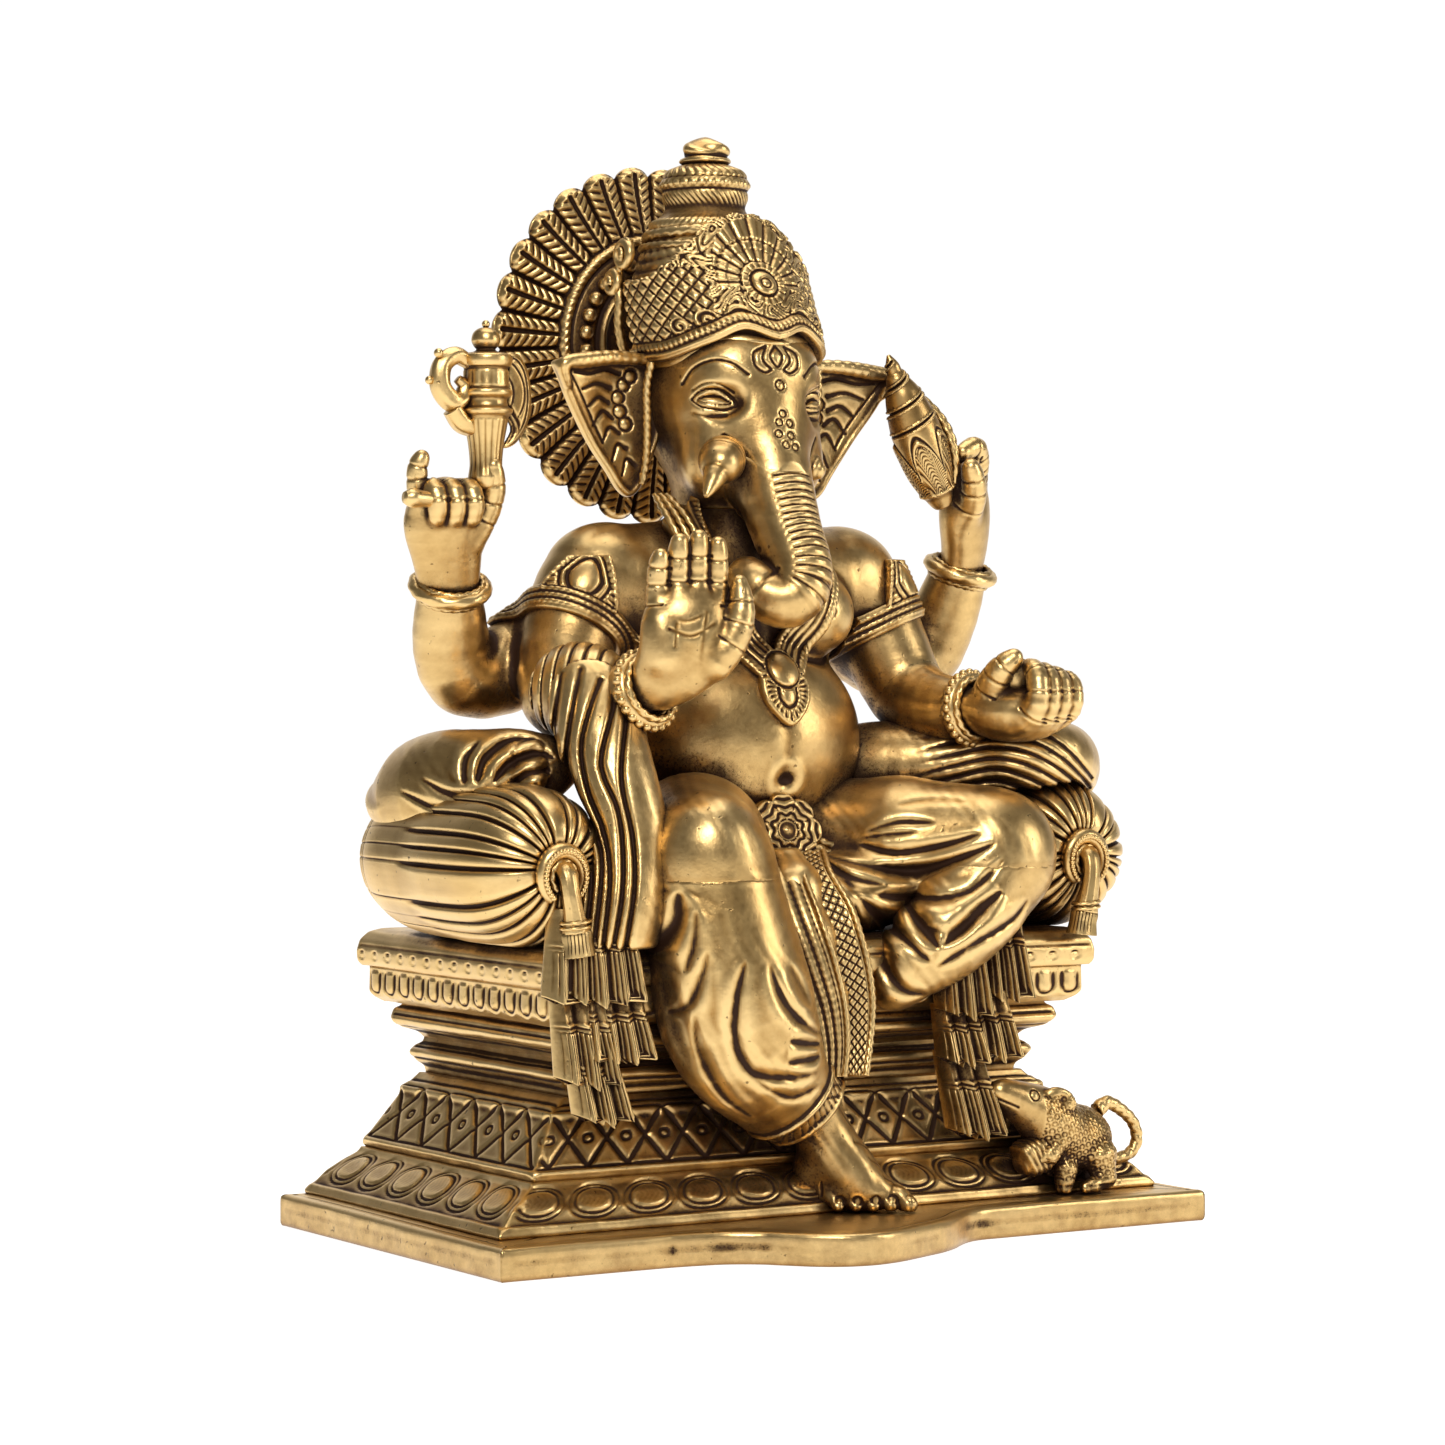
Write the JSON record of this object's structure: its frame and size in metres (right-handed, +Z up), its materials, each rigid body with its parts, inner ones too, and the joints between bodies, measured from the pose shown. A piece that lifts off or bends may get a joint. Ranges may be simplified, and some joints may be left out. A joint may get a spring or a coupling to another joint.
{
  "type": "ganesha idol",
  "caption": "Brass shrine idol of a four-armed elephant-headed deity seated with one leg hanging, on a stepped throne with bolsters, feather halo and a mouse.",
  "frame": {"origin": "under the middle of the whole object's box, at the height of the surface it stands on", "axes": "+Z up, -Y the way the idol faces, +X towards the idol's own left hand"},
  "size_m": [0.225, 0.1516, 0.305],
  "materials": {
    "brass": "polished high spots with dark patina in the recesses",
    "aged_brass": "darker antique brass, worn on the edges"
  },
  "bodies": {
    "root": {"base_plate": "brass", "lotus_tier": "brass", "diamond_tier": "brass", "lower_moulding": "brass", "upper_moulding": "brass", "petal_band": "brass", "seat_slab": "brass", "torso": "brass", "right_thigh": "brass", "left_thigh": "brass", "right_shin": "brass", "left_shin": "brass", "right_foot": "brass", "head": "brass", "trunk": "brass", "right_tusk": "brass", "left_tusk": "brass", "right_ear": "brass", "left_ear": "brass", "crown_cap": "brass", "crown_crest": "brass", "topknot": "brass", "finial": "brass", "halo": "aged_brass", "right_upper_arm": "brass", "left_upper_arm": "brass", "right_forearm": "brass", "left_forearm": "brass", "right_hand": "brass", "left_hand": "brass", "sweet": "brass", "rear_right_upper_arm": "brass", "rear_left_upper_arm": "brass", "rear_right_forearm": "brass", "rear_left_forearm": "brass", "rear_right_hand": "brass", "rear_left_hand": "brass", "goad_axe": "aged_brass", "conch": "aged_brass", "right_bangle": "brass", "left_bangle": "brass", "rear_right_bangle": "brass", "rear_left_bangle": "brass", "right_armlet": "brass", "left_armlet": "brass", "necklace": "brass", "belt_clasp": "brass", "centre_sash": "brass", "right_shawl": "brass", "right_bolster": "brass", "left_bolster": "brass", "right_bolster_cover": "brass", "left_bolster_cover": "brass", "right_bolster_rosette": "brass", "left_bolster_rosette": "brass", "right_fringe": "brass", "left_fringe": "brass", "mouse": "aged_brass", "mouse_tail": "aged_brass"}
  },
  "joints": []
}
